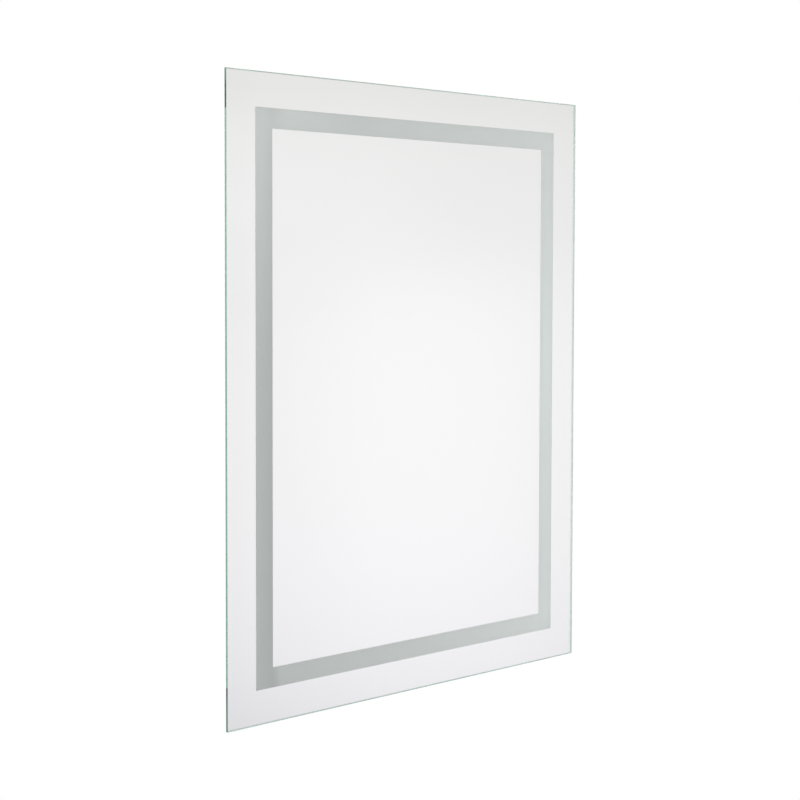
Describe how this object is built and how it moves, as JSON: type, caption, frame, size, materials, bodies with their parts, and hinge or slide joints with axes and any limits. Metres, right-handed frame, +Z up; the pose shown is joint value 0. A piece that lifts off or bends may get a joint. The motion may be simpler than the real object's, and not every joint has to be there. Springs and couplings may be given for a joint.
{
  "type": "lighted bathroom mirror",
  "caption": "Rectangular frameless wall mirror with a sandblasted light band inset all round, lamps and driver in a hidden aluminium frame, hung on interlocking rails.",
  "frame": {"origin": "middle of the wall rail's line of fixing slots, on the wall's surface", "axes": "+X to the right for someone facing the mirror, +Y into the wall, +Z up; the glass faces -Y"},
  "size_m": [0.6, 0.0422, 0.8],
  "materials": {
    "black_rubber": "moulded, matt",
    "block_plastic": "moulded nylon",
    "bonding_foam": "closed-cell foam tape",
    "box_plastic": "moulded, fine texture",
    "circuit_board": "solder mask",
    "clip_plastic": "moulded nylon, adhesive back",
    "component_plastic": "moulded cases and cans",
    "demister_film": "clear polyester film",
    "demister_track": "printed carbon track",
    "driver_plastic": "moulded",
    "earth_jacket": "green with a yellow stripe",
    "float_glass": "clear float glass, edges polished, the band sandblasted",
    "frame_aluminium": "mill extrusion, satin anodised",
    "jumper_jacket": "white flexible circuit ribbon",
    "key_metal": "die cast",
    "lamp_phosphor": "white housing with a yellow phosphor",
    "lamp_tape": "white flexible circuit tape",
    "lead_jacket": "white flexible jacket",
    "panel_steel": "white powder coat on zinc-coated sheet",
    "rail_steel": "zinc-coated folded sheet",
    "screw_zinc": "bright zinc plate",
    "sensor_plastic": "moulded",
    "sensor_window": "smoked, lets infrared through",
    "silvering": "silvered towards the glass, grey protective paint behind",
    "stud_steel": "zinc plate",
    "tag_brass": "tinned"
  },
  "bodies": {
    "wall": {"wall_rail": "rail_steel"},
    "mirror": {"back_panel": "panel_steel", "bond_tape_bottom": "bonding_foam", "bond_tape_left": "bonding_foam", "bond_tape_right": "bonding_foam", "bond_tape_top": "bonding_foam", "cable_clips": "clip_plastic", "cable_grommet": "black_rubber", "corner_key_bottom_left": "key_metal", "corner_key_bottom_right": "key_metal", "corner_key_top_left": "key_metal", "corner_key_top_right": "key_metal", "demister_element": "demister_track", "demister_pad": "demister_film", "driver_board": "circuit_board", "driver_case": "driver_plastic", "driver_components": "component_plastic", "driver_lid": "driver_plastic", "driver_screws": "screw_zinc", "earth_nut": "stud_steel", "earth_stud": "stud_steel", "earth_tag": "tag_brass", "earth_washer": "stud_steel", "frame_bottom": "frame_aluminium", "frame_left": "frame_aluminium", "frame_right": "frame_aluminium", "frame_top": "frame_aluminium", "hook_rail": "rail_steel", "hook_rail_screws": "screw_zinc", "lead_demister": "lead_jacket", "lead_driver_sensor": "lead_jacket", "lead_earth": "earth_jacket", "lead_mains_driver": "lead_jacket", "lead_sensor_lamps": "lead_jacket", "led_chips_bottom": "lamp_phosphor", "led_chips_left": "lamp_phosphor", "led_chips_right": "lamp_phosphor", "led_chips_top": "lamp_phosphor", "led_jumper_bottom_left": "jumper_jacket", "led_jumper_top_left": "jumper_jacket", "led_jumper_top_right": "jumper_jacket", "led_tape_bottom": "lamp_tape", "led_tape_left": "lamp_tape", "led_tape_right": "lamp_tape", "led_tape_top": "lamp_tape", "mirror_glass": "float_glass", "panel_screws": "screw_zinc", "sensor_lens": "sensor_window", "sensor_module": "sensor_plastic", "silver_backing": "silvering", "spacer_screws": "screw_zinc", "terminal_block": "block_plastic", "terminal_box": "box_plastic", "terminal_lid": "box_plastic", "terminal_screws": "screw_zinc", "wall_spacer_left": "black_rubber", "wall_spacer_right": "black_rubber"}
  },
  "joints": [
    {"name": "lift", "type": "slide", "parent": "wall", "child": "mirror", "axis": [0, 0, 1], "range_m": [0, 0.014]}
  ]
}
